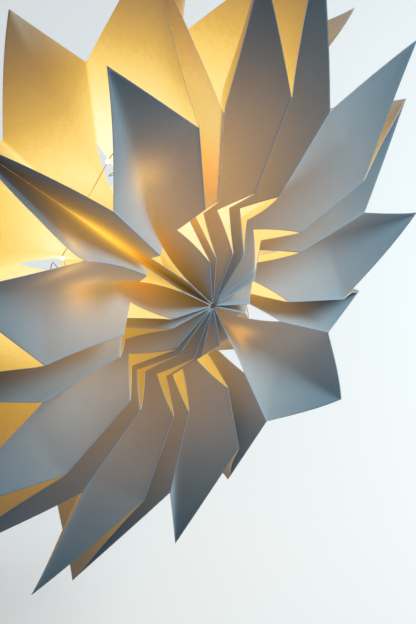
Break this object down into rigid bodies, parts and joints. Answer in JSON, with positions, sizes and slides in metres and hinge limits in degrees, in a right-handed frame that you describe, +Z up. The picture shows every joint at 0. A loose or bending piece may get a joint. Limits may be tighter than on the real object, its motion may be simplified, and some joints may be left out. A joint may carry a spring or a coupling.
{
  "type": "paper star lantern",
  "caption": "Hanging star lantern folded from white gusseted paper bags, fanned round and glued, lit from inside by a thin wire of small warm lights.",
  "frame": {"origin": "middle of the punched hang hole, on the glue line of the two walls at the top point", "axes": "+Z up, +Y from the star's front to its back along its own axis, +X along the hang hole, to the right as seen from the front"},
  "size_m": [0.5305, 0.11, 0.5269],
  "materials": {
    "white_paper": "matte, slightly translucent",
    "lacquered_wire": "thin lacquered copper wire",
    "clear_drop": "clear resin drop, lit warm white",
    "holder_plastic": "matte moulded",
    "cell_steel": "satin"
  },
  "bodies": {
    "root": {"paper_bag_1": "white_paper", "paper_bag_2": "white_paper", "paper_bag_3": "white_paper", "paper_bag_4": "white_paper", "paper_bag_5": "white_paper", "paper_bag_6": "white_paper", "paper_bag_7": "white_paper", "paper_bag_8": "white_paper", "paper_bag_9": "white_paper", "light_wire": "lacquered_wire", "light_1": "clear_drop", "light_2": "clear_drop", "light_3": "clear_drop", "light_4": "clear_drop", "light_5": "clear_drop", "light_6": "clear_drop", "light_7": "clear_drop", "light_8": "clear_drop", "light_9": "clear_drop", "light_10": "clear_drop", "light_11": "clear_drop", "light_12": "clear_drop", "light_13": "clear_drop", "light_14": "clear_drop", "light_15": "clear_drop", "light_16": "clear_drop", "light_17": "clear_drop", "light_18": "clear_drop", "light_19": "clear_drop", "light_20": "clear_drop", "cell_holder": "holder_plastic", "coin_cell": "cell_steel"}
  },
  "joints": []
}
